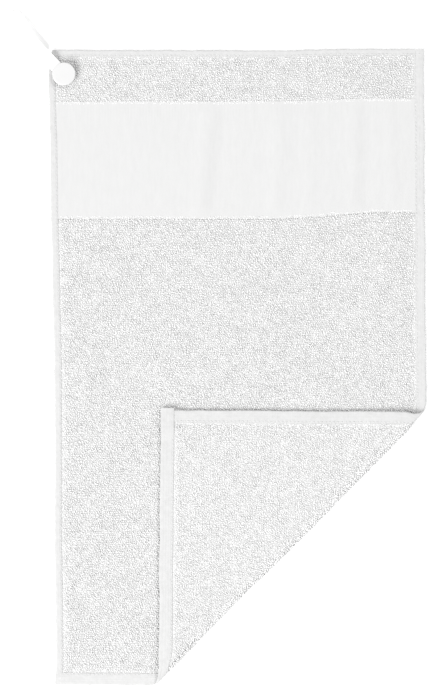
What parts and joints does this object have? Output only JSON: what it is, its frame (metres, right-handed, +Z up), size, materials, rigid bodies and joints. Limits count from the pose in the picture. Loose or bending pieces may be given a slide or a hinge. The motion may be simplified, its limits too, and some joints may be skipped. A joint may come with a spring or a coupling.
{
  "type": "golf towel",
  "caption": "Terry golf towel with a flat woven border, one corner turned over, and a moulded spring hook riveted through its top corner.",
  "frame": {"origin": "centre of the towel's underside, on the surface that it lies on", "axes": "+X towards the right hem, +Y along the towel towards the top hem, +Z up out of the front face"},
  "size_m": [0.3351, 0.5382, 0.0153],
  "materials": {
    "terry_cloth": "white cotton terry with looped pile",
    "woven_border_cloth": "smooth white plain weave",
    "hem_cloth": "white ribbed woven hem",
    "sewing_thread": "white lockstitch thread",
    "rivet_plastic": "smooth white moulded plastic",
    "hook_plastic": "smooth white moulded plastic"
  },
  "bodies": {
    "towel": {"terry_top_band": "terry_cloth", "woven_border": "woven_border_cloth", "terry_field": "terry_cloth", "top_hem": "hem_cloth", "left_hem": "hem_cloth", "right_hem": "hem_cloth", "bottom_hem": "hem_cloth", "top_hem_stitching": "sewing_thread", "left_hem_stitching": "sewing_thread", "right_hem_stitching": "sewing_thread", "bottom_hem_stitching": "sewing_thread", "fold_crease": "terry_cloth", "rivet_button": "rivet_plastic", "rivet_socket": "rivet_plastic"},
    "turned_corner": {"corner_terry": "terry_cloth", "corner_side_hem": "hem_cloth", "corner_bottom_hem": "hem_cloth", "corner_side_stitching": "sewing_thread", "corner_bottom_stitching": "sewing_thread"},
    "hook": {"hook_arm": "hook_plastic", "hook_bend": "hook_plastic"},
    "tongue": {"hook_tongue": "hook_plastic"}
  },
  "joints": [
    {"name": "corner_fold", "type": "hinge", "parent": "towel", "child": "turned_corner", "pos_m": [-0.067, -0.252, 0.00375], "axis": [0.7071, 0.7071, 0], "range_deg": [0, 180], "deforming": ["fold_crease"]},
    {"name": "hook_swivel", "type": "hinge", "parent": "towel", "child": "hook", "pos_m": [-0.1397, 0.2325, 0.0049], "axis": [0, 0, 1], "range_deg": [-55, 100]},
    {"name": "tongue_flex", "type": "hinge", "parent": "hook", "child": "tongue", "pos_m": [-0.17615, 0.27855, 0.00176], "axis": [0.7547, 0.6561, 0], "range_deg": [0, 7], "stiffness_Nm_per_rad": 0.3, "deforming": ["hook_bend"]}
  ]
}
